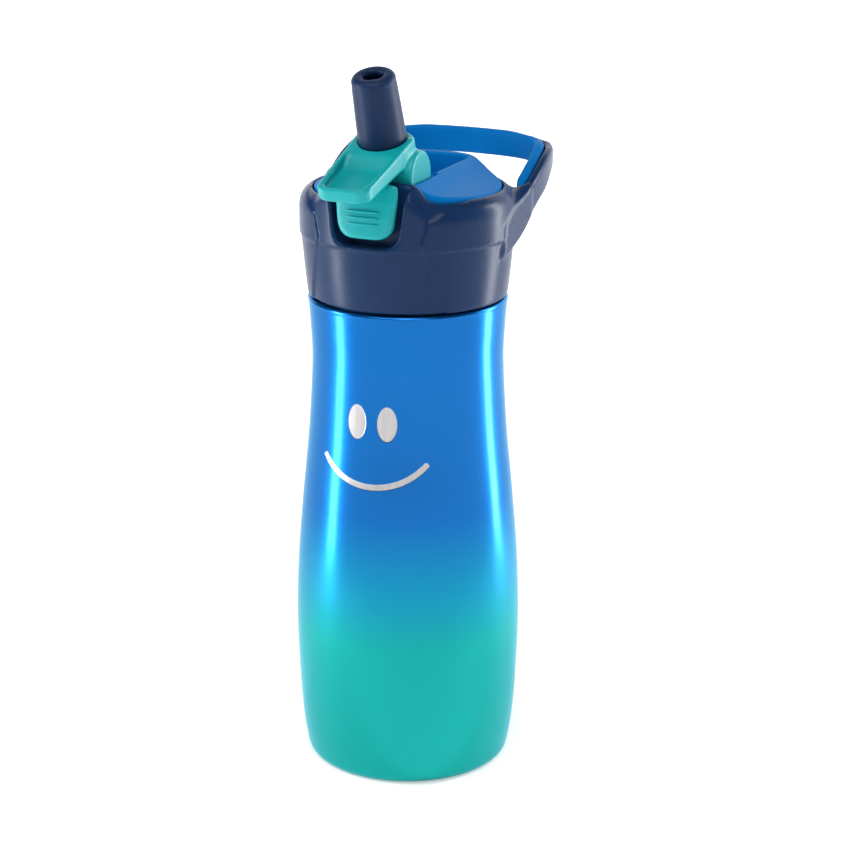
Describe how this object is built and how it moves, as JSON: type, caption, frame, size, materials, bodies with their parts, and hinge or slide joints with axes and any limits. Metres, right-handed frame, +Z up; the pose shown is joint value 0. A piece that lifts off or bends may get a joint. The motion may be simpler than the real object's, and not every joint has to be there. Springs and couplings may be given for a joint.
{
  "type": "water bottle",
  "caption": "Insulated steel water bottle for a child, with a screw lid, a lever-operated flip spout, a push button and a fixed carry handle.",
  "frame": {"origin": "centre of the flat base, where the bottle stands", "axes": "+Z up along the bottle, -Y towards the push button, +Y towards the carry handle, +X to the right seen from the button side"},
  "size_m": [0.0728, 0.1023, 0.2296],
  "materials": {
    "lacquered_steel": "satin blue to teal lacquer over steel",
    "bare_steel": "brushed stainless steel",
    "spring_steel": "bright drawn wire and pin",
    "navy_plastic": "satin moulded plastic",
    "blue_plastic": "fine textured moulded plastic",
    "teal_plastic": "fine textured moulded plastic",
    "navy_silicone": "soft silicone rubber",
    "clear_silicone": "translucent silicone rubber",
    "straw_plastic": "milky polypropylene"
  },
  "bodies": {
    "flask": {"outer_shell": "lacquered_steel", "inner_flask": "bare_steel", "base_plate": "bare_steel", "vacuum_seal_disc": "bare_steel"},
    "gasket": {"lid_gasket": "clear_silicone"},
    "lid": {"lid_shell": "navy_plastic", "lid_core": "straw_plastic", "crown_insert": "blue_plastic", "carry_handle": "navy_plastic", "handle_grip": "blue_plastic", "vent_valve": "clear_silicone", "straw_adapter": "clear_silicone", "straw": "straw_plastic", "spout_seat": "clear_silicone", "hinge_post_left": "teal_plastic", "hinge_post_right": "teal_plastic", "hinge_pin_left": "spring_steel", "hinge_pin_right": "spring_steel", "torsion_spring": "spring_steel", "button_spring": "spring_steel"},
    "spout": {"spout_lever": "teal_plastic", "drum_cap_left": "teal_plastic", "drum_cap_right": "teal_plastic", "spout_nozzle": "navy_plastic", "mouthpiece": "navy_silicone"},
    "button": {"push_button": "teal_plastic", "latch_pawl": "teal_plastic"}
  },
  "joints": [
    {"name": "lid_lift", "type": "slide", "parent": "flask", "child": "gasket", "axis": [0, 0, 1], "range_m": [0, 0.168]},
    {"name": "lid_turn", "type": "hinge", "parent": "gasket", "child": "lid", "pos_m": [0, 0, 0.171], "axis": [0, 0, 1], "range_deg": [0, 540]},
    {"name": "spout_fold", "type": "hinge", "parent": "lid", "child": "spout", "pos_m": [0, -0.0153, 0.1965], "axis": [1, 0, 0], "range_deg": [-108, 0], "stiffness_Nm_per_rad": 0.01, "springref_deg": 17.19},
    {"name": "button_press", "type": "slide", "parent": "lid", "child": "button", "axis": [0, 1, 0], "range_m": [0, 0.0021], "stiffness_N_per_m": 400, "springref_m": -0.001, "deforming": ["button_spring"]}
  ]
}
